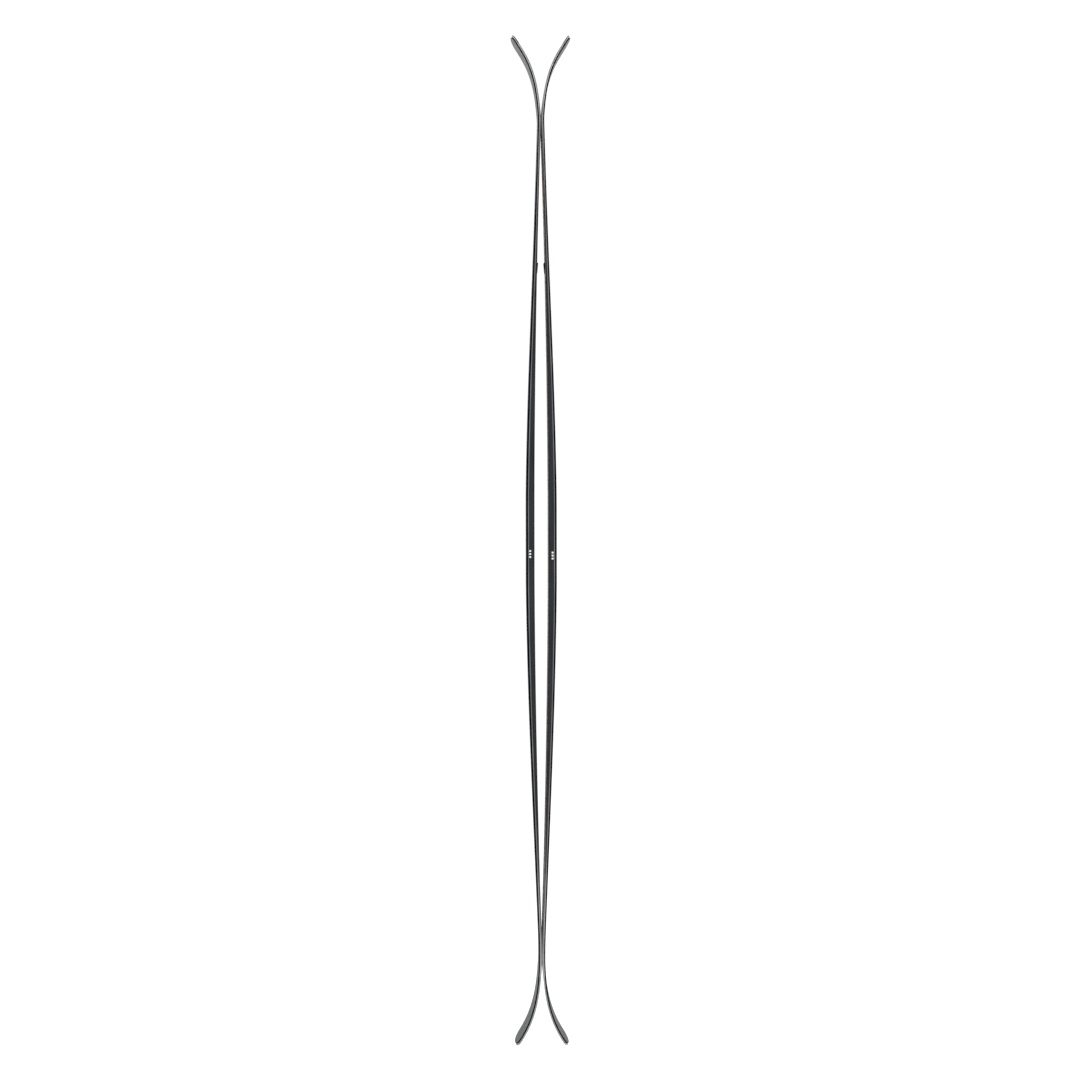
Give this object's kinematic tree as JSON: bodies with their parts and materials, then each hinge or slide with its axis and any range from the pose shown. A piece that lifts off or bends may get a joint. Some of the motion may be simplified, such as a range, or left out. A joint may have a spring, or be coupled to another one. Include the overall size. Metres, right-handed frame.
{
  "type": "pair of cross country skis",
  "caption": "Pair of wide twin-tip cross country skis with steel edges and a laminated wood core, stored upright and base to base, without bindings.",
  "frame": {"origin": "bottom centre of the pair's box: in the plane between the two skis, at the level of the tail ends", "axes": "+Z along the skis from the tail ends to the tip ends, +X from the left ski to the right ski and square to their bases, +Y across the skis"},
  "size_m": [0.106, 0.109, 1.8],
  "materials": {
    "topsheet": "gloss black printed plastic sheet with a fine diagonal weave",
    "laminate": "black fibre and resin laminate, cut edge",
    "wood": "planed softwood",
    "sidewall": "dark grey plastic, ground smooth, with a planed bevel",
    "steel": "ground hardened steel",
    "tip_guard": "dark brown moulded plastic",
    "tail_guard": "light grey moulded plastic with a knurled rim",
    "rubber": "black soft rubber",
    "base": "waxed sintered polyethylene with a stone-ground structure",
    "spacer": "dark plastic filler",
    "plate": "rolled aluminium sheet"
  },
  "bodies": {
    "left_ski": {"left_ski_running_base": "base", "left_ski_steel_edge_a": "steel", "left_ski_steel_edge_b": "steel", "left_ski_damping_foil_a": "rubber", "left_ski_damping_foil_b": "rubber", "left_ski_lower_laminate": "laminate", "left_ski_sidewall_a": "sidewall", "left_ski_sidewall_b": "sidewall", "left_ski_core_stringer_1": "wood", "left_ski_core_stringer_2": "wood", "left_ski_core_stringer_3": "wood", "left_ski_tail_spacer": "spacer", "left_ski_tip_spacer": "spacer", "left_ski_binding_plate": "plate", "left_ski_upper_laminate": "laminate", "left_ski_topsheet": "topsheet", "left_ski_base_pad": "rubber", "left_ski_tip_guard": "tip_guard", "left_ski_tail_guard": "tail_guard"},
    "right_ski": {"right_ski_running_base": "base", "right_ski_steel_edge_a": "steel", "right_ski_steel_edge_b": "steel", "right_ski_damping_foil_a": "rubber", "right_ski_damping_foil_b": "rubber", "right_ski_lower_laminate": "laminate", "right_ski_sidewall_a": "sidewall", "right_ski_sidewall_b": "sidewall", "right_ski_core_stringer_1": "wood", "right_ski_core_stringer_2": "wood", "right_ski_core_stringer_3": "wood", "right_ski_tail_spacer": "spacer", "right_ski_tip_spacer": "spacer", "right_ski_binding_plate": "plate", "right_ski_upper_laminate": "laminate", "right_ski_topsheet": "topsheet", "right_ski_base_pad": "rubber", "right_ski_tip_guard": "tip_guard", "right_ski_tail_guard": "tail_guard"}
  },
  "joints": [
    {"name": "right_ski_lift_off", "type": "slide", "parent": "left_ski", "child": "right_ski", "axis": [1, 0, 0], "range_m": [0, 0.12]}
  ]
}
